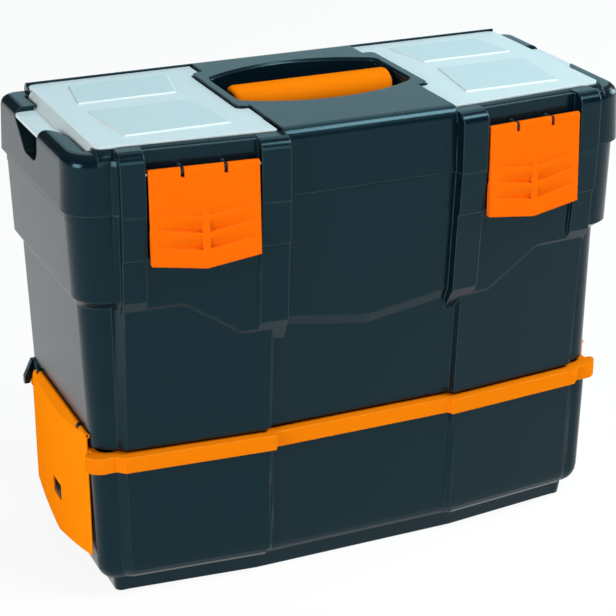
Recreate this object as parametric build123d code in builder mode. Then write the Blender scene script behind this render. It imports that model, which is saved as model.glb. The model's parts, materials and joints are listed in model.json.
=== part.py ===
"""Two-storey tool box: a deep bin with an organiser lid, clipped onto a shallower lower bin.

Millimetres. X points to the right, Y to the back and Z up. The origin is on the underside,
in the middle of the width. Left-hand pieces are mirror images of the right-hand ones.
"""

import math
import os

from build123d import *

os.makedirs("parts", exist_ok=True)

# Fits
fit_gap = 0.1  # moulded pieces that clip together
seat_gap = 0.3  # pieces that rest on each other
running_gap = 0.5  # pieces that swing past each other
pin_gap = 0.05  # radial, a pin in its bore
wall = 3.0  # bins
root = 3.5  # how far a boss reaches back into the wall that carries it
lap = 1.0  # how far joined solids run into each other and cuts run past them
reach = 700.0  # longer than any cut needs to be

# Plan of the bins, taken at the rim of the lower bin
base_half_width = 240.5
base_front = 95.5  # centre panel, in front of the origin
base_rear = 106.5
pilaster_width = 127.0
corner_width = 25.5  # from the outer edge of a pilaster to the end wall
pilaster_proud = 5.5
pilaster_sweep = 11.0  # how far a pilaster runs back from its inner to its outer edge
shoulder_step = 6.0  # from a pilaster back to the corner
inner_run = 3.0  # the step beside the centre panel slopes over this width
outer_run = 6.0  # and the one beside the corner over this
front_radius = 28.0  # upper bin and lid, where there is room for it
rear_radius = 12.0
radius_share = 0.45  # share of an inset that comes off a corner radius
step_share = 0.5  # share of an inset by which a pilaster narrows at each edge
run_share = 1.1  # share of the outer step's run that stays clear of the corner

# Lower bin
base_height = 136.0
base_radius = 14.0
plinth_height = 15.0
plinth_inset = 15.5
plinth_draft = 2.0
plinth_relief = 0.1  # share of the corner steps that is left on the plinth
foot_rise = 16.0
foot_steps = 5
base_draft = 1.8

# Band over the rim of the lower bin
band_height = 14.3
band_web = 3.7
band_proud = 5.0
band_end_proud = 2.0  # more at the two ends
band_radius = 12.0
band_lip = 2.4
band_end_gap = 8.0  # from its rounded ends to the side latches
band_end_round = 3.5

# Upper bin
upper_height = 216.9
upper_setback = 1.5
upper_edge = 4.0  # rounding-in of the lower edge
end_draft = 0.03
front_draft = 0.07
rear_draft = 0.005
flange_proud = 6.0
flange_rear = 3.5
flange_fill = 15.0  # how far the flange comes forward at the front corners
shoulder_drop = 85.0  # from the parting line down to the shoulder
shoulder_facet = 10.0
post_drop = 118.0  # from the parting line down to the end of the inner latch post
post_proud = 5.0
channel_proud = 1.5
channel_facet = 2.5
zigzag_outer = 16.0  # bend points of the shoulder line under a latch
zigzag_inner = 33.0
chevron_drop = 12.0
centre_proud = 3.5
frame_drop = 38.5
frame_proud = 7.0
lip_height = 5.0
lip_wall = 2.2
keeper_drop = 29.0
keeper_height = 4.0
keeper_proud = 4.7
keeper_half = 30.0

# Lid
lid_height = 55.5
lid_wall = 3.0
lid_gap = 0.7  # between the lid's skirt and the rim inside it
lid_front_lap = 0.8
lid_proud = 1.5
lid_step = 5.0
lid_draft = 0.039
lid_edge = 9.0
strip_edge_round = 12.0
lid_edge_steps = 5
deck_wall = 4.0
strip_drop = 3.5  # the deck in front of a cover lies this much lower
horn_drop = 7.0  # corner horns
flap_bed_drop = 14.3  # bed of the cover's end flap
organiser_depth = 41.0
organiser_wall = 2.2
organiser_land = 1.0
organiser_front_margin = 19.0
organiser_rear_margin = 6.0
post_round = 10.0

# Hand well and grip
well_half = 80.0
well_centre = 17.5
well_side_half = 35.0
well_bow = 24.5  # the front and rear edges bow out by this much
well_corner = 10.0
well_rim = 2.0  # bevel round the top
well_depth = 58.0
well_wall = 2.5
grip_length = 150.0
grip_radius = 15.0
grip_drop = 13.5
bar_radius = 8.0
bar_socket = 6.0

# Front latches
latch_offset = 64.0  # from the edge of the centre panel to the middle of a latch
latch_width = 91.0
latch_top_drop = 18.0  # below the deck
latch_length = 85.8
latch_vee = 6.9
grip_share = 0.55  # of the length, from the pivot down to the finger grip
rib_drop = 2.4  # snap rib below the keeper
latch_skin = 3.0
latch_back = 1.8  # plastic left behind the deepest louvre
latch_edge = 2.4  # round along the top
latch_lean = 0.0405
latch_recess_half = 47.5
inner_post_width = 24.7
outer_post_width = 20.3
latch_recess_depth = 4.0
latch_pivot_drop = 4.2
latch_pivot_out = 2.6
latch_barrel = 3.6
latch_pin_radius = 1.8
latch_pin_seat = 8.0
notch_offset = 17.8
notch_width = 3.2
notch_depth = 8.2
louvre_drop = 4.4  # from the top of the grip to the foot of the first louvre
louvre_pitch = 14.2
louvre_height = 13.0
louvre_depth = 3.2
louvre_lift = 6.0

# Lid hinge
hinge_offset = 150.0
hinge_knuckle = 5.0
hinge_pin_radius = 2.0
hinge_drop = 5.5
hinge_back = 5.4  # axis behind the lid's rear face
bin_ear_width = 20.0
lid_knuckle_width = 30.0

# Organiser covers
cover_thickness = 2.5
cover_proud = 1.0  # above the strip round it
cover_inner = 80.5  # hinge axis, to the side of the middle
cover_end = 11.5  # from the end wall of the bins in to a cover's outer edge
cover_rear = 103.0
cover_front = 99.5
cover_cut = 90.0  # cut-out round the hand well
cover_cut_front = 37.0
cover_cut_rear = 76.0
cover_round = 7.0  # corners
cover_groove = 1.5  # between a cover and the raised deck beside it
cover_barrel = 2.2
cover_pin_radius = 1.0
cover_pin_length = 30.0
flap_drop = 9.0
cover_slope = 5.0  # run of the slope between a cover and its flap
flap_width = 6.5
flap_front = 77.0
flap_rear = 88.0
tab_reach = 24.6
tab_front = -8.0
tab_rear = 58.0
tab_run = 36.0
tab_round = 5.0
scoop_depth = 22.0
scoop_slope = 30.0  # the scoop's rear wall leans forward by this much
scoop_round = 12.0
field_rise = 1.2
field_side = 27.0  # from the hinge axis to the raised fields
field_taper = 11.0
field_end = 22.5  # from the raised fields to the cover's outer edge
field_narrow = 8.0
field_front_margin = 30.0
field_rear_margin = 20.0
field_split = 17.5  # middle of the gap between the two fields
field_gap = 24.0
field_slope = 40.0  # degrees, of the fields' sides
divider_wall = 1.6

# Side latches
side_latch_front = 66.0
side_latch_length = 161.0
side_edge_proud = 2.3  # edges of the plate beyond the end wall
side_bow = 4.7
side_skin = 1.9
side_bottom = 23.5
side_corner_rise = 14.5
side_edge_round = 1.6
side_bottom_round = 8.0
side_rear_round = 26.0
side_head = 9.0  # height of the head that joins the plate to its barrel
side_bevel_angle = 56.0
side_pivot_rise = 12.0  # above the floor of the upper bin
side_pivot_out = 0.3
side_barrel = 2.4
side_pin_radius = 1.1
side_lug_inset = 18.0  # from the ends of the plate
side_lug_width = 6.0
hook_gap = 1.5
hook_width = 5.0
hook_drop = 8.0  # below the floor of the upper bin
hook_out = 9.0
hook_tip = 7.0  # height of its outer end
hook_wall = 4.5
window_width = 24.0
window_height = 16.0
window_round = 2.5
peg_height = 65.0
peg_radius = 4.0
peg_flange_radius = 6.4
peg_flange = 2.0
peg_head_width = 20.0
peg_head_height = 12.0
peg_head_length = 3.6
peg_slit = 1.6

# Levels and places that follow from the sizes above
band_bottom = base_height + fit_gap + band_web - band_height
band_top = base_height + fit_gap + band_web
upper_floor = band_top + seat_gap
parting = upper_floor + upper_height
deck = parting + lid_height
strip = deck - strip_drop
horn = deck - horn_drop
flap_bed = deck - flap_bed_drop
cover_bed = strip + cover_proud - cover_thickness
cover_under = cover_bed + seat_gap
cover_top = cover_under + cover_thickness
centre_half = base_half_width - corner_width - pilaster_width - inner_run  # flat centre panel
yaw = math.atan(pilaster_sweep / pilaster_width)
latch_centre = centre_half + latch_offset

front_at_parting = base_front + front_draft * upper_height - upper_setback
rear_at_parting = base_rear + rear_draft * upper_height - upper_setback
half_at_parting = base_half_width + end_draft * upper_height - upper_setback
lid_half_width = half_at_parting + flange_proud + lid_gap + lid_wall
lid_front = front_at_parting + centre_proud + lid_front_lap
lid_rear = rear_at_parting + flange_rear + lid_gap + lid_wall


def block(x1, x2, y1, y2, z1, z2, mode=Mode.ADD):
    """A box given by its two corners."""
    with Locations(((x1 + x2) / 2, (y1 + y2) / 2, (z1 + z2) / 2)):
        Box(x2 - x1, y2 - y1, z2 - z1, mode=mode)


def end_blocks(start, y1, y2, z1, z2, mode=Mode.ADD):
    """A box at each end of the tool box, from a distance off the middle outwards."""
    block(start, reach, y1, y2, z1, z2, mode)
    block(-reach, -start, y1, y2, z1, z2, mode)


def rod(start, end, radius, mode=Mode.ADD):
    """A round bar between two points."""
    axis = Vector(*end) - Vector(*start)
    with BuildSketch(Plane(origin=start, z_dir=axis.normalized())) as disc:
        Circle(radius)
    extrude(disc.sketch, amount=axis.length, mode=mode)


def draw_plan(
    half_width, front, rear, inset=0.0, proud=pilaster_proud, step=shoulder_step, radius=front_radius
):
    """Plan outline: flat centre panel, two swept-back pilasters and round corners."""
    width = half_width - inset
    back = rear - inset
    inner_x = centre_half + step_share * inset
    outer_x = centre_half + inner_run + pilaster_width - step_share * inset
    centre = front - inset
    inner = centre + proud
    outer = inner - pilaster_sweep
    corner = outer - step
    room = width - outer_x - run_share * outer_run
    front_r = min(radius - radius_share * inset, room)
    rear_r = rear_radius - radius_share * inset
    with BuildLine() as outline:
        Polyline(
            (0, -centre),
            (inner_x, -centre),
            (inner_x + inner_run, -inner),
            (outer_x, -outer),
            (outer_x + outer_run, -corner),
            (width - front_r, -corner),
        )
        CenterArc((width - front_r, front_r - corner), front_r, -90, 90)
        Line((width, front_r - corner), (width, back - rear_r))
        CenterArc((width - rear_r, back - rear_r), rear_r, 0, 90)
        Line((width - rear_r, back), (0, back))
        mirror(about=Plane.YZ)
    make_face(outline.edges())


def export(piece, label):
    """Label a finished piece and write it."""
    piece.part.label = label
    export_step(piece.part, f"parts/{label}.step")


def export_pair(right, name):
    """Write a right-hand piece and its mirror image."""
    with BuildPart() as left:
        mirror(right.part, about=Plane.YZ)
    export(right, name + "_right")
    export(left, name + "_left")


# Lower bin: plinth, rounded foot, drafted wall and a straight rim for the band
def draw_base(inset, relief):
    """Plan of the lower bin; relief runs from 0 at the flush plinth to 1 on the wall."""
    flush = pilaster_proud * (1 - relief)
    draw_plan(
        base_half_width,
        base_front + flush,
        base_rear,
        inset,
        pilaster_proud - flush,
        shoulder_step * max(relief, plinth_relief),
        base_radius,
    )


foot_top = plinth_height + foot_rise
draft_top = band_bottom - wall
base_levels = [(0, plinth_inset + plinth_draft, 0), (plinth_height, plinth_inset, 0)]
for foot_step in range(1, foot_steps + 1):
    turn = math.radians(90 * foot_step / foot_steps)
    foot_z = plinth_height + foot_rise * (1 - math.cos(turn))
    foot_inset = plinth_inset - (plinth_inset - base_draft) * math.sin(turn)
    base_levels.append((foot_z, foot_inset, math.sin(turn)))
base_levels.append((draft_top, 0, 1))
base_levels.append((base_height, 0, 1))

with BuildPart() as base_hollow:
    for level, inset, relief in base_levels:
        with BuildSketch(Plane.XY.offset(level + wall)):
            draw_base(inset + wall, relief)
    loft(ruled=True)

peg_y = side_latch_length / 2 - side_latch_front
with BuildPart() as base_bin:
    for level, inset, relief in base_levels:
        with BuildSketch(Plane.XY.offset(level)):
            draw_base(inset, relief)
    loft(ruled=True)
    add(base_hollow.part, mode=Mode.SUBTRACT)
    rod((-reach, peg_y, peg_height), (reach, peg_y, peg_height), peg_radius + fit_gap, Mode.SUBTRACT)
export(base_bin, "base_bin")


# Rim band: an inverted channel that clips over the rim, without its outer flange at the side latches
def rim_prism(inset, bottom, top):
    """Prism of the rim's plan."""
    with BuildPart() as prism:
        with BuildSketch(Plane.XY.offset(bottom)):
            draw_base(inset, 1)
        extrude(amount=top - bottom)
    return prism.part


band_end = -side_latch_front - band_end_gap
with BuildPart() as band_outer:
    with BuildSketch(Plane.XY.offset(band_bottom)):
        draw_plan(
            base_half_width + band_end_proud, base_front, base_rear, -band_proud, radius=band_radius
        )
    extrude(amount=band_height)
    end_blocks(base_half_width, band_end, reach, 0, reach, Mode.SUBTRACT)
    band_ends = band_outer.edges().filter_by(Axis.Z).filter_by(
        lambda edge: abs(edge.center().Y - band_end) < fit_gap
        and abs(edge.center().X) > base_half_width + fit_gap
    )
    fillet(band_ends, band_end_round)

with BuildPart() as rim_channel:
    add(rim_prism(-fit_gap, 0, base_height + fit_gap))
    add(rim_prism(wall + fit_gap, -lap, reach), mode=Mode.SUBTRACT)

with BuildPart() as rim_band:
    add(band_outer.part)
    add(rim_prism(wall + band_lip, 0, reach), mode=Mode.SUBTRACT)
    add(rim_channel.part, mode=Mode.SUBTRACT)
export(rim_band, "rim_band")


# Upper bin
def draw_upper(level, inset=0.0, flange=0.0, rear_flange=0.0, bury=0.0, fill=0.0):
    """Plan of the upper bin at one level: the front leans out, except at the corners."""
    rise = level - upper_floor
    draw_plan(
        base_half_width + end_draft * rise + flange,
        base_front + front_draft * rise - bury,
        base_rear + rear_draft * rise + rear_flange,
        upper_setback + inset,
        step=shoulder_step + front_draft * rise - fill,
    )


def pilaster_y(across):
    """Front of the upper bin's pilaster at the parting line."""
    return (across - centre_half - inner_run) * math.tan(yaw) - front_at_parting - pilaster_proud


def boss(plane, outline, proud, facet, depth=root):
    """A raised field whose lower edge slopes back to the wall; outline points are (across, up)."""
    slope = facet / proud
    ends = []
    for out in (-depth, proud):
        with BuildSketch(plane.offset(out)) as field:
            Polygon(*[(u, v + slope * out if v < 0 else v) for u, v in outline])
        ends.append(field.sketch)
    loft(ends, ruled=True)


along = (math.cos(yaw), math.sin(yaw), 0)
body_plane = Plane(
    origin=(latch_centre, pilaster_y(latch_centre), parting),
    x_dir=along,
    z_dir=(math.sin(yaw), -math.cos(yaw), -front_draft * math.cos(yaw)),
)
centre_plane = Plane(
    origin=(0, -front_at_parting, parting), x_dir=(1, 0, 0), z_dir=(0, -1, -front_draft)
)
post_in = -latch_recess_half - inner_post_width
post_out = latch_recess_half + outer_post_width
seam = -running_gap  # bosses stop just under the lid

with BuildPart() as body_bosses:
    for left, right, drop in (
        (post_in, -latch_recess_half, post_drop),
        (latch_recess_half, post_out, shoulder_drop),
    ):
        post = [(left, -drop), (right, -drop), (right, 0), (left, 0)]
        boss(body_plane, post, post_proud, shoulder_facet, root + pilaster_proud)
        frame = [(left, -frame_drop), (right, -frame_drop), (right, 0), (left, 0)]
        boss(body_plane, frame, frame_proud, lap, root + pilaster_proud)
    channel = [
        (-latch_recess_half - lap, -post_drop),
        (-zigzag_inner, -post_drop),
        (zigzag_outer, -shoulder_drop),
        (latch_recess_half + lap, -shoulder_drop),
        (latch_recess_half + lap, 0),
        (-latch_recess_half - lap, 0),
    ]
    boss(body_plane, channel, channel_proud, channel_facet)
    keeper_low = -keeper_drop
    keeper_high = keeper_low + keeper_height
    with BuildSketch(body_plane):
        with Locations((0, (keeper_low + keeper_high) / 2)):
            Rectangle(2 * keeper_half, keeper_height)
    extrude(amount=keeper_proud)

post_edge = latch_centre + post_in * math.cos(yaw)
with BuildPart() as centre_boss:
    chevron = [
        (-post_edge, -post_drop),
        (0, -post_drop - chevron_drop),
        (post_edge, -post_drop),
        (post_edge, 0),
        (-post_edge, 0),
    ]
    boss(centre_plane, chevron, centre_proud, shoulder_facet)

shoulder = parting - shoulder_drop
side_latch_rear = side_latch_length - side_latch_front
side_axis_x = base_half_width + side_pivot_out
side_axis_z = upper_floor + side_pivot_rise
side_recess_x = side_axis_x - side_barrel - running_gap
side_recess_top = side_axis_z + side_barrel + running_gap
side_recess_front = -side_latch_front - running_gap
side_recess_rear = side_latch_rear + running_gap

with BuildPart() as upper_hollow:
    for level, inset in (
        (upper_floor + wall, upper_edge + wall),
        (upper_floor + wall + upper_edge, wall),
        (parting + lip_height + lap, wall),
    ):
        with BuildSketch(Plane.XY.offset(level)):
            draw_upper(level, inset)
    loft(ruled=True)
    end_blocks(
        side_recess_x - wall, side_recess_front - wall, side_recess_rear + wall,
        0, side_recess_top + wall, Mode.SUBTRACT,
    )  # fmt: skip

with BuildPart() as rim_lip:
    for inset, mode in (
        (lid_wall + lid_gap, Mode.ADD),
        (lid_wall + lid_gap + lip_wall, Mode.SUBTRACT),
    ):
        with BuildSketch(Plane.XY.offset(parting - shoulder_facet)):
            draw_plan(lid_half_width, lid_front, lid_rear, inset, lid_proud, lid_step)
        extrude(amount=shoulder_facet + lip_height, mode=mode)

hinge_y = lid_rear + hinge_back
hinge_z = parting - hinge_drop
hinge_gap = running_gap + lid_knuckle_width / 2
with BuildPart() as bin_ears:
    for start in (hinge_offset + hinge_gap, hinge_offset - hinge_gap - bin_ear_width):
        with BuildSketch(Plane.YZ.offset(start)):
            with Locations((hinge_y, hinge_z)):
                Circle(hinge_knuckle)
            Polygon(
                (rear_at_parting - lap, hinge_z - 4 * hinge_knuckle),
                (hinge_y, hinge_z - hinge_knuckle),
                (hinge_y, hinge_z + hinge_knuckle),
                (rear_at_parting - lap, hinge_z + hinge_knuckle),
            )
        extrude(amount=bin_ear_width)

side_lug_starts = (
    -side_latch_front + side_lug_inset,
    side_latch_rear - side_lug_inset - side_lug_width,
)
hook_inside = base_half_width - 2 * wall
hook_outside = base_half_width + hook_out
hook_foot = upper_floor - hook_drop
with BuildPart() as side_lugs:
    for start in side_lug_starts:
        with BuildSketch(Plane.XZ.offset(-start)):
            with Locations((side_axis_x, side_axis_z)):
                Circle(side_barrel - fit_gap)
            with Locations((side_axis_x - side_barrel, side_axis_z)):
                Rectangle(2 * side_barrel, 2 * side_barrel - 4 * fit_gap)
        extrude(amount=-side_lug_width)
    with BuildSketch(Plane.XZ.offset(-side_latch_rear - hook_gap)):
        Polygon(
            (hook_inside, side_recess_top),
            (hook_inside, upper_floor + wall),
            (base_half_width + running_gap, upper_floor),
            (hook_outside - hook_wall, hook_foot),
            (hook_outside, hook_foot),
            (hook_outside, hook_foot + hook_tip),
            (side_axis_x + lap, side_recess_top),
        )
    extrude(amount=-hook_width)

with BuildPart() as upper_bin:
    for level, inset in (
        (upper_floor, upper_edge),
        (upper_floor + upper_edge, 0),
        (parting + seam, 0),
    ):
        with BuildSketch(Plane.XY.offset(level)):
            draw_upper(level, inset)
    loft(ruled=True)
    for level, flange, rear_flange, fill in (
        (shoulder - lap, -lap / 2, -lap / 2, 0),
        (shoulder + shoulder_facet, flange_proud, flange_rear, flange_fill),
        (parting + seam, flange_proud, flange_rear, flange_fill),
    ):
        with BuildSketch(Plane.XY.offset(level)):
            draw_upper(level, 0, flange, rear_flange, bury=lap, fill=fill)
    loft(ruled=True)
    add(body_bosses.part)
    mirror(body_bosses.part, about=Plane.YZ)
    add(centre_boss.part)
    block(-reach, reach, -reach, reach, parting + seam, reach, Mode.SUBTRACT)
    add(rim_lip.part)
    end_blocks(
        side_recess_x, side_recess_front, side_recess_rear, 0, side_recess_top, Mode.SUBTRACT
    )
    add(upper_hollow.part, mode=Mode.SUBTRACT)
    add(bin_ears.part)
    mirror(bin_ears.part, about=Plane.YZ)
    add(side_lugs.part)
    mirror(side_lugs.part, about=Plane.YZ)
    hinge_bore = hinge_pin_radius + pin_gap
    rod((-reach, hinge_y, hinge_z), (reach, hinge_y, hinge_z), hinge_bore, Mode.SUBTRACT)
    for side in (-1, 1):
        rod(
            (side * side_axis_x, -side_latch_front, side_axis_z),
            (side * side_axis_x, side_latch_rear, side_axis_z),
            side_pin_radius + pin_gap,
            Mode.SUBTRACT,
        )
export(upper_bin, "upper_bin")

with BuildPart() as lid_hinge_pin:
    half_pin = lid_knuckle_width / 2 + running_gap + bin_ear_width
    rod(
        (hinge_offset - half_pin, hinge_y, hinge_z),
        (hinge_offset + half_pin, hinge_y, hinge_z),
        hinge_pin_radius,
    )
export_pair(lid_hinge_pin, "lid_hinge_pin")

with BuildPart() as side_latch_pin:
    rod(
        (side_axis_x, side_lug_starts[0], side_axis_z),
        (side_axis_x, side_lug_starts[1] + side_lug_width, side_axis_z),
        side_pin_radius,
    )
export_pair(side_latch_pin, "side_latch_pin")


# Side latch: a bowed plate that hangs from a barrel along its top
side_edge = base_half_width + side_edge_proud
side_back = side_edge - side_skin
bevel_turn = math.radians(90 - side_bevel_angle)
bevel_x = side_axis_x + side_barrel * math.cos(bevel_turn)
bevel_z = side_axis_z + side_barrel * math.sin(bevel_turn)
bevel_run = 2 * side_bow + side_edge_proud
bevel_fall = bevel_run / math.tan(bevel_turn)


side_middle = (side_latch_rear - side_latch_front) / 2
hollow_front = -side_latch_front + side_skin
hollow_rear = side_latch_rear - side_skin
with BuildPart() as side_latch:
    with BuildSketch(Plane.XY.offset(side_bottom)) as plate_plan:
        with BuildLine():
            ThreePointArc(
                (side_edge, -side_latch_front),
                (side_edge + side_bow, side_middle),
                (side_edge, side_latch_rear),
            )
            Polyline(
                (side_edge, side_latch_rear),
                (side_back, side_latch_rear),
                (side_back, -side_latch_front),
                (side_edge, -side_latch_front),
            )
        make_face()
        fillet(plate_plan.vertices().group_by(Axis.X)[-1], side_edge_round)
    extrude(amount=bevel_z - side_bottom)
    with BuildSketch(Plane.XY):
        with BuildLine():
            ThreePointArc(
                (side_back, hollow_front), (side_back + side_bow, side_middle), (side_back, hollow_rear)
            )
            Polyline(
                (side_back, hollow_rear),
                (side_back - side_skin, hollow_rear),
                (side_back - side_skin, hollow_front),
                (side_back, hollow_front),
            )
        make_face()
    extrude(amount=side_axis_z - side_head, mode=Mode.SUBTRACT)
    with BuildSketch(Plane.XZ):
        Polygon(
            (0, 0),
            (bevel_x + bevel_run, 0),
            (bevel_x + bevel_run, bevel_z - bevel_fall),
            (bevel_x, bevel_z),
            (side_axis_x, side_axis_z),
            (0, side_axis_z),
        )
    extrude(amount=reach, both=True, mode=Mode.INTERSECT)
    rod(
        (side_axis_x, -side_latch_front, side_axis_z),
        (side_axis_x, side_latch_rear, side_axis_z),
        side_barrel,
    )
    with BuildSketch(Plane.YZ) as side_outline:
        Polygon(
            (-side_latch_front, side_bottom + side_corner_rise),
            (peg_y, side_bottom),
            (side_latch_rear, side_bottom + side_corner_rise),
            (side_latch_rear, side_axis_z + side_barrel),
            (-side_latch_front, side_axis_z + side_barrel),
        )
        fillet(side_outline.vertices().sort_by_distance((side_latch_rear, reach))[0], side_rear_round)
        fillet(side_outline.vertices().group_by(Axis.Y)[0], side_bottom_round)
    extrude(amount=reach, mode=Mode.INTERSECT)
    for start in side_lug_starts:
        block(
            0, side_axis_x + side_barrel + running_gap,
            start - running_gap, start + side_lug_width + running_gap,
            side_axis_z - 2 * side_barrel, reach, Mode.SUBTRACT,
        )  # fmt: skip
    rod(
        (side_axis_x, -reach, side_axis_z),
        (side_axis_x, reach, side_axis_z),
        side_pin_radius + pin_gap,
        Mode.SUBTRACT,
    )
    with BuildSketch(Plane.YZ):
        with Locations((peg_y, peg_height)):
            RectangleRounded(window_width, window_height, window_round)
    extrude(amount=reach, mode=Mode.SUBTRACT)
export_pair(side_latch, "side_latch")

# Snap peg: flange inside the lower bin, shank through its wall and a split head behind the plate
peg_wall = base_half_width - base_draft * (draft_top - peg_height) / (draft_top - foot_top)
with BuildPart() as snap_peg:
    inside = peg_wall - wall - seat_gap
    head_start = peg_wall + seat_gap
    rod((inside - peg_flange, peg_y, peg_height), (inside, peg_y, peg_height), peg_flange_radius)
    rod((inside, peg_y, peg_height), (head_start, peg_y, peg_height), peg_radius)
    with BuildSketch(Plane.YZ.offset(head_start)):
        with Locations((peg_y, peg_height)):
            RectangleRounded(peg_head_width, peg_head_height, window_round)
    extrude(amount=peg_head_length)
    slit_half = peg_slit / 2
    block(
        head_start + lap, reach, peg_y - slit_half, peg_y + slit_half,
        0, reach, Mode.SUBTRACT,
    )  # fmt: skip
export_pair(snap_peg, "snap_peg")

# Lid: a drafted body below, then three tops at different levels, each with a rounded edge
def draw_lid(inset):
    """Plan of the lid."""
    draw_plan(lid_half_width, lid_front, lid_rear, inset, lid_proud, lid_step)


def lid_pilaster_y(across):
    """Front of the lid's swept-back face."""
    return (across - centre_half - inner_run) * math.tan(yaw) - lid_front - lid_proud


def lid_loft(bottom, top, rounding, inset=0.0, drop=0.0):
    """Solid of the lid's plan between two levels, with a rounded upper edge."""
    levels = [(bottom, lid_draft * (bottom - parting))]
    for edge_step in range(lid_edge_steps + 1):
        turn = math.radians(90 * edge_step / lid_edge_steps)
        level = top - rounding * (1 - math.sin(turn))
        if level > bottom:
            levels.append((level, lid_draft * (level - parting) + rounding * (1 - math.cos(turn))))
    sections = []
    for level, draw_in in levels:
        with BuildSketch(Plane.XY.offset(level - drop)) as section:
            draw_lid(draw_in + inset)
        sections.append(section.sketch)
    with BuildPart() as form:
        loft(sections, ruled=True)
    return form.part


def draw_well(plan, grow):
    """Lens-shaped plan of the hand well."""
    half = well_half + grow
    front = well_centre - well_side_half - grow
    rear = well_centre + well_side_half + grow
    with BuildLine() as outline:
        ThreePointArc((-half, front), (0, front - well_bow), (half, front))
        Line((half, front), (half, rear))
        ThreePointArc((half, rear), (0, rear + well_bow), (-half, rear))
        Line((-half, rear), (-half, front))
    make_face(outline.edges())
    fillet(plan.vertices(), well_corner + grow)


latch_face = Plane(
    origin=(latch_centre, lid_pilaster_y(latch_centre), 0),
    x_dir=along,
    z_dir=(math.sin(yaw), -math.cos(yaw), 0),
)
latch_section = Plane(
    origin=latch_face.origin, x_dir=latch_face.z_dir, z_dir=latch_face.x_dir * -1
)
latch_top = deck - latch_top_drop
pivot_z = latch_top - latch_pivot_drop
pivot_low = pivot_z - 2 * latch_barrel
organiser_in = cover_cut + organiser_wall + organiser_land
cover_outer = base_half_width - cover_end
organiser_out = cover_outer - cover_thickness - organiser_wall - 2 * organiser_land
organiser_front = organiser_front_margin - cover_front
organiser_rear = cover_rear - organiser_rear_margin
organiser_floor = cover_bed - organiser_depth
grip_z = deck - grip_drop
socket_end = well_half + bar_socket


def latch_slab(left, right, profile, mode=Mode.ADD):
    """Extrude a profile of (outward, up) points along the latch axis."""
    with BuildSketch(latch_section.offset(-right)) as section:
        Polygon(*profile)
    extrude(section.sketch, amount=right - left, mode=mode)


def latch_axis_rod(left, right, radius, mode=Mode.ADD):
    """A round bar on the axis of a front latch."""
    with BuildSketch(latch_section.offset(-right)) as section:
        with Locations((latch_pivot_out, pivot_z)):
            Circle(radius)
    extrude(section.sketch, amount=right - left, mode=mode)


strip_edge = cover_inner - cover_barrel - running_gap
bulge_edge = cover_cut - cover_groove
end_edge = cover_outer + running_gap
body_top = strip - strip_edge_round
with BuildPart() as lid_body:
    for level in (parting, body_top):
        with BuildSketch(Plane.XY.offset(level)):
            draw_lid(lid_draft * (level - parting))
    loft(ruled=True)

with BuildPart() as lid_horns:
    add(lid_loft(body_top, horn, horn - body_top))
    block(-end_edge, end_edge, -reach, reach, 0, reach, Mode.SUBTRACT)

with BuildPart() as lid_strips:
    add(lid_loft(body_top, strip, strip_edge_round))
    block(-end_edge, end_edge, -reach, reach, 0, reach, Mode.INTERSECT)

with BuildPart() as lid_crown:
    add(lid_loft(body_top, deck, lid_edge))
    with BuildSketch(Plane.XY.offset(parting)):
        Rectangle(2 * strip_edge, reach)
        with Locations((0, (cover_cut_rear - cover_cut_front) / 2)):
            RectangleRounded(
                2 * bulge_edge, cover_cut_rear + cover_cut_front - 2 * cover_groove, cover_round - lap
            )
        with Locations((0, cover_rear + running_gap)):
            Rectangle(2 * end_edge, reach, align=(Align.CENTER, Align.MIN))
    extrude(amount=reach, mode=Mode.INTERSECT)

with BuildPart() as lid_hollow:
    add(lid_loft(parting, deck, lid_edge, lid_wall, deck_wall))
    block(-reach, reach, -reach, reach, 0, parting, Mode.SUBTRACT)
    with BuildSketch(Plane.XY.offset(parting - lap)):
        draw_lid(lid_wall)
    extrude(amount=deck_wall)
    end_blocks(strip_edge - lid_wall, -reach, reach, cover_bed - deck_wall, reach, Mode.SUBTRACT)
    end_blocks(cover_outer - lid_wall, -reach, reach, flap_bed - lid_wall, reach, Mode.SUBTRACT)

with BuildPart() as lid_blocks:
    block(
        organiser_in - organiser_wall, organiser_out + organiser_wall,
        organiser_front - organiser_wall, organiser_rear + organiser_wall,
        organiser_floor - organiser_wall, cover_bed - lap,
    )  # fmt: skip
    latch_slab(
        -latch_recess_half - lid_wall,
        latch_recess_half + lid_wall,
        [
            (-lid_wall / 2, pivot_low - lid_wall),
            (-lid_wall / 2, strip - lap),
            (-latch_recess_depth - lid_wall, strip - lap),
            (-latch_recess_depth - lid_wall, pivot_low - lid_wall),
        ],
    )
    block(
        cover_outer - organiser_wall, lid_half_width - lid_wall,
        tab_front - wall, tab_rear + wall, flap_bed - scoop_depth - wall, flap_bed,
    )  # fmt: skip
    rod((well_half, well_centre, grip_z), (socket_end + wall, well_centre, grip_z), bar_radius + wall)


def draw_cover_plan(plan, grow):
    """Plan of the cover's main plate, cut out round the hand well."""
    inner = cover_inner - grow
    outer = cover_outer + grow
    front = cover_front + grow
    sweep = (cover_outer - cover_inner) * math.tan(yaw)
    Polygon(
        (inner, -front),
        (outer, -front + sweep),
        (outer, cover_rear + grow),
        (inner, cover_rear + grow),
        (inner, cover_cut_rear - grow),
        (cover_cut - grow, cover_cut_rear - grow),
        (cover_cut - grow, -cover_cut_front + grow),
        (inner, -cover_cut_front + grow),
    )
    fillet(plan.vertices().filter_by(lambda corner: corner.X > inner + lap), cover_round)


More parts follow.
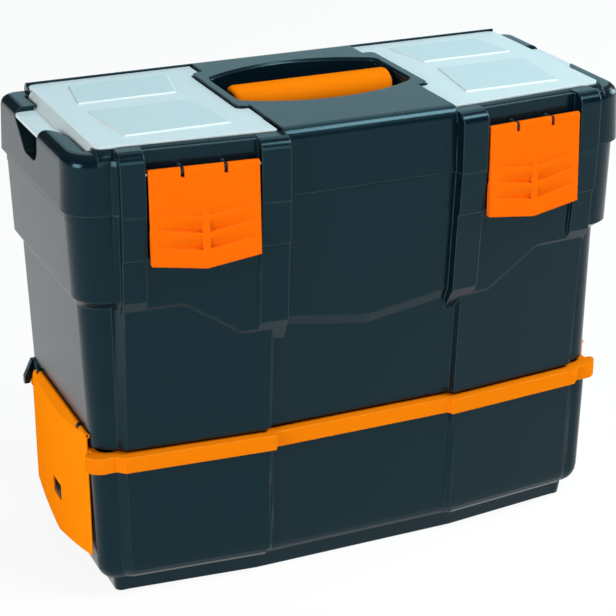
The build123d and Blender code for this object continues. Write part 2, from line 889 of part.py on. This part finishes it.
def draw_flap_plan(plan, grow):
    """Plan of the end flap: narrow at the front and rear, with a finger tab between."""
    inner = cover_outer - cover_thickness - grow
    narrow = cover_outer + flap_width + grow
    wide = cover_outer + tab_reach + grow
    with BuildLine() as outline:
        Polyline(
            (inner, flap_rear + grow),
            (inner, -flap_front - grow),
            (narrow, -flap_front - grow),
            (narrow, tab_front - tab_run - grow),
        )
        Bezier(
            (narrow, tab_front - tab_run - grow),
            (narrow, tab_front - tab_run / 2 - grow),
            (wide - tab_run / 3, tab_front - grow),
            (wide, tab_front - grow),
        )
        Polyline(
            (wide, tab_front - grow),
            (wide, tab_rear + grow),
            (narrow, tab_rear + grow),
            (narrow, flap_rear + grow),
            (inner, flap_rear + grow),
        )
    make_face(outline.edges())
    fillet(plan.vertices().group_by(Axis.X)[-1].sort_by(Axis.Y)[-1], tab_round)


with BuildPart() as lid_cuts:
    # beds of the cover, of its hinge and of its flap
    with BuildSketch(Plane.XY.offset(cover_bed)) as bed_plan:
        draw_cover_plan(bed_plan, running_gap)
    extrude(amount=reach)
    for start, end in (
        (-cover_front, -cover_cut_front),
        (cover_cut_rear, cover_rear),
    ):
        rod(
            (cover_inner, start - running_gap, cover_top - cover_barrel + fit_gap),
            (cover_inner, end + running_gap, cover_top - cover_barrel + fit_gap),
            cover_barrel + running_gap,
        )
    with BuildSketch(Plane.XY.offset(flap_bed)) as flap_plan:
        draw_flap_plan(flap_plan, running_gap)
    extrude(amount=reach)
    # finger scoop under the tab
    with BuildSketch(Plane.YZ.offset(cover_outer + flap_width + lap)) as scoop_plan:
        Polygon(
            (tab_rear, flap_bed + lap),
            (tab_rear - scoop_slope, flap_bed - scoop_depth),
            (tab_front, flap_bed - scoop_depth),
            (tab_front, flap_bed + lap),
        )
        fillet(scoop_plan.vertices().group_by(Axis.Y)[0], scoop_round)
    extrude(amount=reach)
    # organiser well and latch recess
    block(
        organiser_in, organiser_out, organiser_front, organiser_rear, organiser_floor, reach
    )
    latch_slab(
        -latch_recess_half,
        latch_recess_half,
        [
            (-latch_recess_depth, pivot_low),
            (reach, pivot_low),
            (reach, reach),
            (-latch_recess_depth, reach),
        ],
    )

with BuildPart() as lid_posts:
    front_edge = deck - strip_drop - post_round
    for left, right in ((post_in, -latch_recess_half), (latch_recess_half, post_out)):
        with BuildSketch(latch_section.offset(-right)):
            with BuildLine():
                Polyline(
                    (frame_proud - post_round, strip),
                    (-lid_edge - root, strip),
                    (-lid_edge - root, strip - deck_wall),
                    (-lid_wall, front_edge),
                    (-lid_wall, parting),
                    (frame_proud, parting),
                    (frame_proud, front_edge),
                )
                RadiusArc((frame_proud, front_edge), (frame_proud - post_round, strip), -post_round)
            make_face()
        extrude(amount=right - left)
    for middle in (-notch_offset, notch_offset):
        rib = notch_width / 2 - running_gap
        latch_axis_rod(middle - rib, middle + rib, latch_barrel - fit_gap)
        latch_slab(
            middle - rib,
            middle + rib,
            [
                (-latch_recess_depth - lap, pivot_z - latch_barrel),
                (latch_pivot_out, pivot_z - latch_barrel + fit_gap),
                (latch_pivot_out, pivot_z + latch_barrel - fit_gap),
                (-latch_recess_depth - lap, pivot_z + latch_barrel),
            ],
        )
    with BuildSketch(Plane.YZ.offset(hinge_offset - lid_knuckle_width / 2)):
        with Locations((hinge_y, hinge_z)):
            Circle(hinge_knuckle)
        Polygon(
            (lid_rear - lid_wall / 2, parting + lap),
            (hinge_y, hinge_z - hinge_knuckle / 2),
            (hinge_y + hinge_knuckle - lap, hinge_z + 2 * lap),
            (lid_rear - lid_wall / 2, parting + 5 * hinge_knuckle),
        )
    extrude(amount=lid_knuckle_width)

with BuildPart() as lid_bores:
    latch_axis_rod(
        -latch_recess_half - latch_pin_seat,
        latch_recess_half + latch_pin_seat,
        latch_pin_radius + pin_gap,
    )
    rod(
        (cover_inner, -cover_cut_front - running_gap, cover_top - cover_barrel + fit_gap),
        (cover_inner, cover_cut_rear + running_gap, cover_top - cover_barrel + fit_gap),
        cover_pin_radius + pin_gap,
    )

with BuildPart() as lid_shell:
    add(lid_body.part)
    add(lid_horns.part)
    add(lid_strips.part)
    add(lid_crown.part)
    add(lid_hollow.part, mode=Mode.SUBTRACT)
    add(lid_blocks.part)
    mirror(lid_blocks.part, about=Plane.YZ)
    with BuildSketch(Plane.XY.offset(deck - well_depth - well_wall)) as well_plan:
        draw_well(well_plan, well_wall)
    extrude(amount=well_depth + well_wall - deck_wall / 2)
    add(lid_cuts.part, mode=Mode.SUBTRACT)
    mirror(lid_cuts.part, about=Plane.YZ, mode=Mode.SUBTRACT)
    with BuildSketch(Plane.XY.offset(deck - well_depth)) as well_cut:
        draw_well(well_cut, 0)
    extrude(amount=reach, mode=Mode.SUBTRACT)
    with BuildSketch(Plane.XY.offset(deck - well_rim)) as rim_low:
        draw_well(rim_low, 0)
    with BuildSketch(Plane.XY.offset(deck)) as rim_high:
        draw_well(rim_high, well_rim)
    loft(ruled=True, mode=Mode.SUBTRACT)
    add(lid_posts.part)
    mirror(lid_posts.part, about=Plane.YZ)
    rod(
        (-socket_end, well_centre, grip_z),
        (socket_end, well_centre, grip_z),
        bar_radius + fit_gap,
        Mode.SUBTRACT,
    )
    rod((-reach, hinge_y, hinge_z), (reach, hinge_y, hinge_z), hinge_bore, Mode.SUBTRACT)
    add(lid_bores.part, mode=Mode.SUBTRACT)
    mirror(lid_bores.part, about=Plane.YZ, mode=Mode.SUBTRACT)
export(lid_shell, "lid_shell")

with BuildPart() as handle_bar:
    bar_end = socket_end - seat_gap
    rod((-bar_end, well_centre, grip_z), (bar_end, well_centre, grip_z), bar_radius)
export(handle_bar, "handle_bar")

with BuildPart() as handle_grip:
    half_grip = grip_length / 2
    rod((-half_grip, well_centre, grip_z), (half_grip, well_centre, grip_z), grip_radius)
    fillet(handle_grip.edges().filter_by(GeomType.CIRCLE), grip_radius - bar_radius - 2 * lap)
    rod((-reach, well_centre, grip_z), (reach, well_centre, grip_z), bar_radius + fit_gap, Mode.SUBTRACT)
export(handle_grip, "handle_grip")


# Front latch: leaning skin with a thicker grip, a hinge barrel and a snap rib behind it
def latch_front(level):
    """How far the latch's face stands out at one level."""
    return frame_proud + latch_lean * (latch_top - level)


latch_bottom = latch_top - latch_length
latch_half = latch_width / 2
corner_z = latch_bottom + latch_vee
grip_top = pivot_z - grip_share * latch_length
rib_z = parting - keeper_drop - rib_drop
keeper_face = keeper_proud + lid_pilaster_y(0) - pilaster_y(0) - front_draft * keeper_drop
with BuildPart() as front_latch:
    latch_slab(
        -latch_half,
        latch_half,
        [
            (latch_front(latch_top) - latch_skin, latch_top),
            (latch_front(latch_top), latch_top),
            (latch_front(latch_bottom), latch_bottom),
            (latch_front(latch_bottom) - latch_skin, latch_bottom),
        ],
    )
    latch_head = front_latch.edges().group_by(Axis.Z)[-1].sort_by(SortBy.LENGTH)[-2:]
    fillet(latch_head.sort_by(Axis.Y)[0], latch_edge)
    latch_slab(
        -latch_half,
        latch_half,
        [
            (latch_front(grip_top + latch_skin) - latch_skin, grip_top + latch_skin),
            (latch_front(grip_top + latch_skin) - lap, grip_top + latch_skin),
            (latch_front(latch_bottom) - lap, latch_bottom),
            (latch_front(latch_bottom) - louvre_depth - latch_back, latch_bottom),
            (latch_front(grip_top) - louvre_depth - latch_back, grip_top),
        ],
    )
    latch_axis_rod(-latch_half, latch_half, latch_barrel)
    latch_slab(
        -keeper_half,
        keeper_half,
        [
            (keeper_face + seat_gap, rib_z),
            (latch_front(rib_z) - lap, rib_z - latch_skin),
            (latch_front(rib_z) - lap, rib_z + latch_skin),
            (keeper_face + seat_gap, rib_z + latch_skin / 2),
        ],
    )
    # a shallow crease and two deep louvres on each side of a middle ridge
    for louvre, sink in ((-1, louvre_depth / 3), (0, louvre_depth), (1, louvre_depth)):
        foot = grip_top - louvre_drop - louvre_pitch * louvre
        for side in (-1, 1):
            near = side * latch_skin
            far = side * (latch_half - 2 * latch_skin)
            for across, deep, lift in ((near, sink, 0), (far, sink / 6, louvre_lift)):
                with BuildSketch(latch_section.offset(-across)):
                    Polygon(
                        (latch_front(foot + lift) - deep, foot + lift),
                        (latch_front(foot + lift) + lap, foot + lift),
                        (latch_front(foot + lift + louvre_height) + lap, foot + lift + louvre_height),
                    )
            loft(ruled=True, mode=Mode.SUBTRACT)
    for middle in (-notch_offset, notch_offset):
        half_notch = notch_width / 2
        latch_slab(
            middle - half_notch,
            middle + half_notch,
            [
                (-reach, latch_top - notch_depth),
                (reach, latch_top - notch_depth),
                (reach, reach),
                (-reach, reach),
            ],
            Mode.SUBTRACT,
        )
    with BuildSketch(latch_face):
        Polygon(
            (-latch_half - lap, corner_z),
            (-latch_half - lap, latch_bottom - lap),
            (latch_half + lap, latch_bottom - lap),
            (latch_half + lap, corner_z),
            (0, latch_bottom),
        )
    extrude(amount=reach, both=True, mode=Mode.SUBTRACT)
    latch_axis_rod(-reach, reach, latch_pin_radius + pin_gap, Mode.SUBTRACT)
export_pair(front_latch, "front_latch")

with BuildPart() as front_latch_pin:
    pin_half = latch_recess_half + latch_pin_seat - seat_gap
    latch_axis_rod(-pin_half, pin_half, latch_pin_radius)
export_pair(front_latch_pin, "front_latch_pin")

# Organiser cover: clear plate with two raised fields, a lower end flap and hinge barrels
cover_axis_z = cover_top - cover_barrel + fit_gap
flap_top = cover_top - flap_drop
with BuildPart() as cover:
    with BuildSketch(Plane.XY.offset(cover_under)) as plate_plan:
        draw_cover_plan(plate_plan, 0)
    extrude(amount=cover_thickness)
    with BuildSketch(Plane.XY.offset(flap_top - cover_thickness)) as tab_plan:
        draw_flap_plan(tab_plan, 0)
    extrude(amount=cover_thickness)
    slope_foot = cover_outer + cover_slope
    with BuildSketch(Plane.XZ.offset(flap_front)):
        Polygon(
            (cover_outer - cover_thickness, cover_top),
            (cover_outer, cover_top),
            (slope_foot, flap_top),
            (slope_foot, flap_top - cover_thickness),
            (slope_foot - cover_thickness, flap_top - cover_thickness),
        )
    extrude(amount=-flap_front - flap_rear)
    field_inner = cover_inner + field_side
    field_outer = cover_outer - field_end
    with BuildSketch(Plane.XY.offset(cover_top)):
        Polygon(
            (field_inner, cover_rear - field_rear_margin),
            (field_inner + field_taper, field_split + field_gap / 2),
            (field_outer, field_split + field_gap / 2),
            (field_outer - field_narrow, cover_rear - field_rear_margin),
        )
        Polygon(
            (field_inner + field_taper, field_split - field_gap / 2),
            (field_inner, field_front_margin - cover_front),
            (field_outer - field_narrow, field_front_margin - cover_front),
            (field_outer, field_split - field_gap / 2),
        )
    extrude(amount=field_rise, taper=field_slope)
    for start, end in (
        (-cover_cut_front - cover_pin_length, -cover_cut_front),
        (cover_cut_rear, cover_rear),
    ):
        rod((cover_inner, start, cover_axis_z), (cover_inner, end, cover_axis_z), cover_barrel)
    rod(
        (cover_inner, -reach, cover_axis_z),
        (cover_inner, reach, cover_axis_z),
        cover_pin_radius + pin_gap,
        Mode.SUBTRACT,
    )
export_pair(cover, "cover")

with BuildPart() as cover_pins:
    pin_half = cover_pin_length / 2
    for middle in (-cover_cut_front, cover_cut_rear):
        rod(
            (cover_inner, middle - pin_half, cover_axis_z),
            (cover_inner, middle + pin_half, cover_axis_z),
            cover_pin_radius,
        )
export_pair(cover_pins, "cover_pins")

# Dividers standing in an organiser well
with BuildPart() as divider:
    divider_top = cover_bed - lap
    middle_x = (organiser_in + organiser_out) / 2
    middle_y = (organiser_front + organiser_rear) / 2
    half_wall = divider_wall / 2
    block(
        organiser_in + seat_gap, organiser_out - seat_gap, middle_y - half_wall, middle_y + half_wall,
        organiser_floor, divider_top,
    )  # fmt: skip
    block(
        middle_x - half_wall, middle_x + half_wall, organiser_front + seat_gap, organiser_rear - seat_gap,
        organiser_floor, divider_top,
    )  # fmt: skip
export_pair(divider, "divider")
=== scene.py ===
# %% [markdown]
# # A two-storey tool box
# The real box is injection-moulded plastic: two dark bins, a dark lid with two clear organiser
# covers, and orange pieces wherever a hand or a catch goes. Every solid comes from the imported CAD
# frame, so this lesson is about finish: how moulded plastic takes light. The frame is loaded once.

# %% Load the frame
import json

import bpy
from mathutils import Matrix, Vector

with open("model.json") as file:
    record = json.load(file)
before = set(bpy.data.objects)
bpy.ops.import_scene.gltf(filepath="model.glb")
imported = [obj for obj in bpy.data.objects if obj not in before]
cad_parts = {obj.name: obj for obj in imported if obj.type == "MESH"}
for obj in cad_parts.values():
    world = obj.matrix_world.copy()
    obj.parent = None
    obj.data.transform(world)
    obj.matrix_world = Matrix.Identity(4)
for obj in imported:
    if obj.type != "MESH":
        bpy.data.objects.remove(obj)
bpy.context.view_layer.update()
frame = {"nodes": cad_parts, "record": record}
nodes = frame["nodes"]

# %% [markdown]
# ## Camera
# The photograph looks down on the left front corner with a long lens. The view could be matched by
# eye, but a lens, a place and a direction say it exactly. The long lens keeps the upright edges
# nearly parallel, as a catalogue picture does.

# %% Camera at the photograph's view
photo_width = 616
focal_pixels = 1865
sensor = 36
camera_place = Vector((-0.6376, -1.4190, 0.8623))
camera_look = Vector((0.3727, 0.8417, -0.3907))

camera_data = bpy.data.cameras.new("photo_camera")
camera_data.sensor_width = sensor
camera_data.lens = sensor * focal_pixels / photo_width
camera = bpy.data.objects.new("photo_camera", camera_data)
camera.location = camera_place
camera.rotation_euler = camera_look.to_track_quat("-Z", "Y").to_euler()
bpy.context.scene.collection.objects.link(camera)
bpy.context.scene.camera = camera
print("lens", round(camera_data.lens, 1), "mm")

# %% [markdown]
# ## Floor
# A catalogue cut-out has a white ground and hardly a shadow. More lamps would burn the object out,
# so most of the floor's white is a glow of its own. Satin plastic mirrors what it stands on and the
# milky covers let it through, so those rays see the same white as the camera does. The rest is
# paint, which takes the soft shadow of the box.

# %% Pale floor
floor_size = 40
floor_glow = 0.9
floor_paint = (0.9, 0.9, 0.9, 1)
floor_drop = 0.0005


def math_node(tree, operation, first, second, clamp=False):
    """A Math node fed by sockets or plain numbers; returns its output socket."""
    node = tree.nodes.new("ShaderNodeMath")
    node.operation = operation
    node.use_clamp = clamp
    for slot, value in enumerate((first, second)):
        if isinstance(value, (int, float)):
            node.inputs[slot].default_value = value
        else:
            tree.links.new(value, node.inputs[slot])
    return node.outputs[0]


def floor_material():
    """Paint that takes the shadow, with a white glow for what is seen, mirrored or looked through."""
    material = bpy.data.materials.new("white_ground")
    material.use_nodes = True
    tree = material.node_tree
    tree.nodes.clear()
    out = tree.nodes.new("ShaderNodeOutputMaterial")
    paint = tree.nodes.new("ShaderNodeBsdfDiffuse")
    paint.inputs["Color"].default_value = floor_paint
    white = tree.nodes.new("ShaderNodeEmission")
    path = tree.nodes.new("ShaderNodeLightPath")
    mirrored = math_node(tree, "MAXIMUM", path.outputs["Is Camera Ray"], path.outputs["Is Glossy Ray"])
    shown = math_node(tree, "MAXIMUM", mirrored, path.outputs["Is Transmission Ray"])
    share = math_node(tree, "MULTIPLY", shown, floor_glow)
    seen = tree.nodes.new("ShaderNodeMixShader")
    tree.links.new(share, seen.inputs[0])
    tree.links.new(paint.outputs[0], seen.inputs[1])
    tree.links.new(white.outputs[0], seen.inputs[2])
    tree.links.new(seen.outputs[0], out.inputs["Surface"])
    return material


half = floor_size / 2
floor_mesh = bpy.data.meshes.new("floor")
floor_corners = [(-half, -half, 0), (half, -half, 0), (half, half, 0), (-half, half, 0)]
floor_mesh.from_pydata(floor_corners, [], [(0, 1, 2, 3)])
floor = bpy.data.objects.new("floor", floor_mesh)
floor.location.z = -floor_drop
floor_mesh.materials.append(floor_material())
bpy.context.scene.collection.objects.link(floor)
print("floor", floor_size, "m square")

# %% [markdown]
# ## Studio light
# Dark satin plastic shows little colour of its own: what reads as its shape is the reflection of
# large soft lights. One panel hangs above the front and draws the bright line along the lid's edge, a
# weak one behind puts the sheen on the lid, and a dim one between those two softens the step from
# the sheen to the line. Three more light the two ends and the latches. A faint world fills the rest,
# so the front stays dark.

# %% Soft panels and world
target = Vector((0, 0, 0.2))
world_colour = (0.8, 0.95, 1, 1)
world_strength = 0.06


def soft_panel(name, place, size, watts, colour):
    """A square area lamp that faces the tool box."""
    lamp = bpy.data.lights.new(name, "AREA")
    lamp.shape = "SQUARE"
    lamp.size = size
    lamp.energy = watts
    lamp.color = colour
    panel = bpy.data.objects.new(name, lamp)
    panel.location = place
    panel.rotation_euler = (target - Vector(place)).to_track_quat("-Z", "Y").to_euler()
    bpy.context.scene.collection.objects.link(panel)


soft_panel("overhead_panel", place=(1.0, -1.05, 2.15), size=1.0, watts=53, colour=(0.88, 0.98, 1))
soft_panel("sky_panel", place=(0.95, 1.0, 2.25), size=1.2, watts=7, colour=(0.5, 0.88, 1))
soft_panel("rear_panel", place=(1.1, 2.4, 1.25), size=2.0, watts=10.5, colour=(0.55, 0.9, 1))
soft_panel("left_panel", place=(-2.6, -0.9, 1.0), size=1.2, watts=57, colour=(0.98, 0.99, 0.98))
soft_panel("right_panel", place=(2.6, 0.4, 0.95), size=1.2, watts=30, colour=(0.8, 0.95, 1))
soft_panel("front_panel", place=(0.2, -3.2, 1.3), size=1.4, watts=22, colour=(1, 0.98, 0.95))

world = bpy.data.worlds.new("studio")
world.use_nodes = True
background = world.node_tree.nodes["Background"]
background.inputs["Color"].default_value = world_colour
background.inputs["Strength"].default_value = world_strength
bpy.context.scene.world = world
bpy.context.scene.view_settings.view_transform = "Standard"

# %% [markdown]
# ## Shared surface effects
# A mould gives every plastic piece a fine spark-eroded grain and slightly rounded corners, and a little
# dust settles on what faces up. The corners are also paler, partly from wear and partly as a painted
# highlight. Each could be drawn in every material, but a node group with named sockets is built once
# and placed with its own values.

# %% Grain group
def new_group(name, inputs, outputs):
    """An empty shader group with its sockets; returns the tree and its two end nodes."""
    group = bpy.data.node_groups.new(name, "ShaderNodeTree")
    for label, kind, value in inputs:
        socket = group.interface.new_socket(label, in_out="INPUT", socket_type=kind)
        socket.default_value = value
    for label, kind in outputs:
        group.interface.new_socket(label, in_out="OUTPUT", socket_type=kind)
    start = group.nodes.new("NodeGroupInput")
    end = group.nodes.new("NodeGroupOutput")
    return group, start, end


def noise_node(tree, scale, detail, vector):
    """Noise over the surface, in metres of the object's own frame, with its scale from a socket."""
    node = tree.nodes.new("ShaderNodeTexNoise")
    node.inputs["Detail"].default_value = detail
    tree.links.new(scale, node.inputs["Scale"])
    tree.links.new(vector, node.inputs["Vector"])
    return node.outputs["Fac"]


def grain_group():
    """Spark-eroded grain: a fine height, and a slow cloudiness in the gloss."""
    group, start, end = new_group(
        "moulded_grain",
        [("Grain Scale", "NodeSocketFloat", 900), ("Cloud Scale", "NodeSocketFloat", 14)],
        [("Height", "NodeSocketFloat"), ("Cloud", "NodeSocketFloat")],
    )
    place = group.nodes.new("ShaderNodeTexCoord")
    height = noise_node(group, start.outputs["Grain Scale"], 3, place.outputs["Object"])
    cloud = noise_node(group, start.outputs["Cloud Scale"], 2, place.outputs["Object"])
    group.links.new(height, end.inputs["Height"])
    group.links.new(cloud, end.inputs["Cloud"])
    return group


grain = grain_group()
print("group", grain.name)

# %% Edge and dust groups
bevel_samples = 6
rub_highlight_gain = 5
upward_power = 4


def edge_group():
    """How close a point is to an outer corner, broken up into patches: a mask for wear and a painted
    highlight.
    """
    group, start, end = new_group(
        "rub_and_edge_highlight",
        [("Radius", "NodeSocketFloat", 0.002), ("Break Scale", "NodeSocketFloat", 60)],
        [("Mask", "NodeSocketFloat")],
    )
    bevel = group.nodes.new("ShaderNodeBevel")
    bevel.samples = bevel_samples
    group.links.new(start.outputs["Radius"], bevel.inputs["Radius"])
    surface = group.nodes.new("ShaderNodeNewGeometry")
    dot = group.nodes.new("ShaderNodeVectorMath")
    dot.operation = "DOT_PRODUCT"
    group.links.new(bevel.outputs["Normal"], dot.inputs[0])
    group.links.new(surface.outputs["Normal"], dot.inputs[1])
    # Corner mask: pale edges, partly wear and partly a painted highlight along the corners.
    turned = math_node(group, "SUBTRACT", 1, dot.outputs["Value"], clamp=True)
    strong = math_node(group, "MULTIPLY", turned, rub_highlight_gain, clamp=True)
    place = group.nodes.new("ShaderNodeTexCoord")
    patches = noise_node(group, start.outputs["Break Scale"], 3, place.outputs["Object"])
    worn_highlight = math_node(group, "MULTIPLY", strong, patches, clamp=True)
    group.links.new(worn_highlight, end.inputs["Mask"])
    return group


def dust_group():
    """A thin veil on what faces up."""
    group, start, end = new_group(
        "settled_dust",
        [("Amount", "NodeSocketFloat", 0.1), ("Patch Scale", "NodeSocketFloat", 25)],
        [("Mask", "NodeSocketFloat")],
    )
    surface = group.nodes.new("ShaderNodeNewGeometry")
    split = group.nodes.new("ShaderNodeSeparateXYZ")
    group.links.new(surface.outputs["Normal"], split.inputs[0])
    upward = math_node(group, "POWER", math_node(group, "MAXIMUM", split.outputs["Z"], 0), upward_power)
    place = group.nodes.new("ShaderNodeTexCoord")
    patches = noise_node(group, start.outputs["Patch Scale"], 5, place.outputs["Object"])
    veil = math_node(group, "MULTIPLY", upward, patches)
    settled = math_node(group, "MULTIPLY", veil, start.outputs["Amount"], clamp=True)
    group.links.new(settled, end.inputs["Mask"])
    return group


rub_and_edge_highlight = edge_group()
settled_dust = dust_group()
print("groups", rub_and_edge_highlight.name, settled_dust.name)

# %% [markdown]
# ## Moulded plastic
# The bins are nearly black with a green-blue cast, and the orange pieces are the same satin plastic
# in a strong colour. One function makes them all: the groups vary colour and gloss and make the
# corners pale, partly as wear and partly as a painted highlight, a Bevel node rounds the corners for
# the light, and the constant values sit on the shader itself so that they export.

# %% Satin plastic
corner_radius = 0.0016
gloss_spread = 0.03
grain_depth = 0.02
grain_distance = 0.001
dust_colour = (0.55, 0.55, 0.52, 1)
plastic_ior = 1.5


def place_group(tree, group, **values):
    """A group node with its inputs set by name."""
    node = tree.nodes.new("ShaderNodeGroup")
    node.node_tree = group
    for label, value in values.items():
        node.inputs[label.replace("_", " ")].default_value = value
    return node


def blend_colour(tree, mask, below, above):
    """Mix two colours, or a socket and a colour, by a mask."""
    node = tree.nodes.new("ShaderNodeMix")
    node.data_type = "RGBA"
    tree.links.new(mask, node.inputs["Factor"])
    for name, value in (("A", below), ("B", above)):
        socket = [s for s in node.inputs if s.name == name and s.type == "RGBA"][0]
        if isinstance(value, tuple):
            socket.default_value = value
        else:
            tree.links.new(value, socket)
    return [s for s in node.outputs if s.type == "RGBA"][0]


def gloss_range(tree, shader, mask, least, most):
    """Roughness that follows a mask between two values."""
    span = tree.nodes.new("ShaderNodeMapRange")
    span.inputs["To Min"].default_value = least
    span.inputs["To Max"].default_value = most
    tree.links.new(mask, span.inputs["Value"])
    tree.links.new(span.outputs[0], shader.inputs["Roughness"])


def rounded_normal(tree, radius):
    """A normal that rounds the corners for the light."""
    rounded = tree.nodes.new("ShaderNodeBevel")
    rounded.samples = bevel_samples
    rounded.inputs["Radius"].default_value = radius
    return rounded.outputs[0]


def satin_plastic(name, colour, cloudy, rubbed_highlight_colour, gloss, shine, tint, dust):
    """Moulded plastic with grain, a trace of dust, and pale corners that are partly wear and partly a
    painted highlight.
    """
    material = bpy.data.materials.new(name)
    material.use_nodes = True
    tree = material.node_tree
    shader = tree.nodes["Principled BSDF"]
    grains = place_group(tree, grain, Grain_Scale=900, Cloud_Scale=14)
    rub_highlight = place_group(tree, rub_and_edge_highlight, Radius=corner_radius, Break_Scale=60)
    veil = place_group(tree, settled_dust, Amount=dust, Patch_Scale=25)
    base = blend_colour(tree, grains.outputs["Cloud"], colour, cloudy)
    # Painted highlight and wear: corners blend towards the pale corner colour.
    worn_highlight = blend_colour(tree, rub_highlight.outputs["Mask"], base, rubbed_highlight_colour)
    dusty = blend_colour(tree, veil.outputs["Mask"], worn_highlight, dust_colour)
    tree.links.new(dusty, shader.inputs["Base Color"])
    gloss_range(tree, shader, grains.outputs["Cloud"], gloss - gloss_spread, gloss + gloss_spread)
    bump = tree.nodes.new("ShaderNodeBump")
    bump.inputs["Strength"].default_value = grain_depth
    bump.inputs["Distance"].default_value = grain_distance
    tree.links.new(grains.outputs["Height"], bump.inputs["Height"])
    tree.links.new(rounded_normal(tree, corner_radius), bump.inputs["Normal"])
    tree.links.new(bump.outputs[0], shader.inputs["Normal"])
    shader.inputs["Specular Tint"].default_value = tint
    shader.inputs["Specular IOR Level"].default_value = shine
    shader.inputs["IOR"].default_value = plastic_ior
    return material


cool = (0.42, 0.86, 1, 1)
warm = (1, 0.6, 0.2, 1)
# The third colour of each plastic is its corner colour: partly wear, partly a painted highlight.
dark_plastic = satin_plastic(
    "dark_plastic", (0.0012, 0.0064, 0.011, 1), (0.0015, 0.0075, 0.0125, 1), (0.06, 0.105, 0.12, 1),
    gloss=0.2, shine=0.3, tint=cool, dust=0.02,
)
orange_plastic = satin_plastic(
    "orange_plastic", (0.82, 0.122, 0.002, 1), (0.87, 0.13, 0.0026, 1), (0.95, 0.19, 0.012, 1),
    gloss=0.5, shine=0, tint=warm, dust=0,
)
amber_plastic = satin_plastic(
    "amber_plastic", (0.96, 0.24, 0.0027, 1), (0.98, 0.25, 0.0035, 1), (0.98, 0.36, 0.035, 1),
    gloss=0.5, shine=0, tint=warm, dust=0,
)
band_plastic = satin_plastic(
    "band_plastic", (0.78, 0.18, 0.0021, 1), (0.82, 0.19, 0.0027, 1), (0.95, 0.33, 0.035, 1),
    gloss=0.5, shine=0, tint=warm, dust=0,
)
print("plastics", dark_plastic.name, orange_plastic.name, amber_plastic.name, band_plastic.name)

# %% [markdown]
# ## Clear covers and steel pins
# The organiser covers are milky rather than clear: they pass some light and scatter the rest, so the
# wells below show only as soft shade. Real glass settings would make them look wet. The plate is
# paler round its raised fields, which have a tone of their own, and its edges carry a painted
# highlight: a pale line along them. The hinge pins are drawn wire: bright metal with a fine streak.

# %% Milky plastic and drawn steel
cover_top = 0.4103
field_top = 0.4115
frame_tone = (0.72, 0.82, 0.84, 1)
frame_cloud = (0.75, 0.85, 0.87, 1)
field_tone = (0.63, 0.76, 0.79, 1)
# Painted highlight: the pale colour put along the covers' edges.
edge_highlight_tone = (0.95, 0.98, 0.98, 1)
edge_gain = 4
edge_radius = 0.001
edge_reach = 0.0018
cover_gloss = (0.24, 0.34)
cover_clarity = 0.25
cover_shine = 0.22
cover_ior = 1.49
wire_dark = (0.5, 0.5, 0.52, 1)
wire_light = (0.66, 0.66, 0.68, 1)
wire_gloss = (0.28, 0.42)


def milky_plastic():
    """Clear moulded plastic with a slight haze, paler round its raised fields, with a painted highlight
    along its edges.
    """
    material = bpy.data.materials.new("milky_plastic")
    material.use_nodes = True
    tree = material.node_tree
    shader = tree.nodes["Principled BSDF"]
    grains = place_group(tree, grain, Grain_Scale=500, Cloud_Scale=9)
    hazy = blend_colour(tree, grains.outputs["Cloud"], frame_tone, frame_cloud)
    place = tree.nodes.new("ShaderNodeTexCoord")
    split = tree.nodes.new("ShaderNodeSeparateXYZ")
    tree.links.new(place.outputs["Object"], split.inputs[0])
    raised = tree.nodes.new("ShaderNodeMapRange")
    raised.inputs["From Min"].default_value = cover_top
    raised.inputs["From Max"].default_value = field_top
    tree.links.new(split.outputs["Z"], raised.inputs["Value"])
    toned = blend_colour(tree, raised.outputs[0], hazy, field_tone)
    # Painted highlight: edges, also round the raised fields, blend towards a pale tone.
    rim = place_group(tree, rub_and_edge_highlight, Radius=edge_reach, Break_Scale=20)
    pale = math_node(tree, "MULTIPLY", rim.outputs["Mask"], edge_gain, clamp=True)
    edged = blend_colour(tree, pale, toned, edge_highlight_tone)
    tree.links.new(edged, shader.inputs["Base Color"])
    gloss_range(tree, shader, grains.outputs["Cloud"], *cover_gloss)
    tree.links.new(rounded_normal(tree, edge_radius), shader.inputs["Normal"])
    shader.inputs["Transmission Weight"].default_value = cover_clarity
    shader.inputs["Specular IOR Level"].default_value = cover_shine
    shader.inputs["IOR"].default_value = cover_ior
    return material


def drawn_steel():
    """Wire with streaks along its length."""
    material = bpy.data.materials.new("drawn_steel")
    material.use_nodes = True
    tree = material.node_tree
    shader = tree.nodes["Principled BSDF"]
    grains = place_group(tree, grain, Grain_Scale=1500, Cloud_Scale=200)
    tone = blend_colour(tree, grains.outputs["Cloud"], wire_dark, wire_light)
    tree.links.new(tone, shader.inputs["Base Color"])
    gloss_range(tree, shader, grains.outputs["Height"], *wire_gloss)
    shader.inputs["Metallic"].default_value = 1
    return material


clear_plastic = milky_plastic()
steel = drawn_steel()
print("materials", clear_plastic.name, steel.name)

# %% [markdown]
# ## Dressing the frame
# The record already says which plastic each piece is made of, so the finish follows that list. The
# orange pieces aren't all one shade: the band and the grip are a little more yellow than the latches,
# and the end plates lighter still, so these four have a finish of their own. Smooth shading is left as
# the frame has it.

# %% Assign the finishes
finishes = {
    "dark_plastic": dark_plastic,
    "orange_plastic": orange_plastic,
    "clear_plastic": clear_plastic,
    "steel": steel,
}
own_finish = {
    "rim_band": band_plastic,
    "handle_grip": band_plastic,
    "side_latch_left": amber_plastic,
    "side_latch_right": amber_plastic,
}
for subpart in frame["record"]["subparts"]:
    piece = nodes[subpart["node"]]
    piece.data.materials.clear()
    piece.data.materials.append(own_finish.get(subpart["node"], finishes[subpart["material_slot"]]))
print("dressed", len(nodes), "pieces")
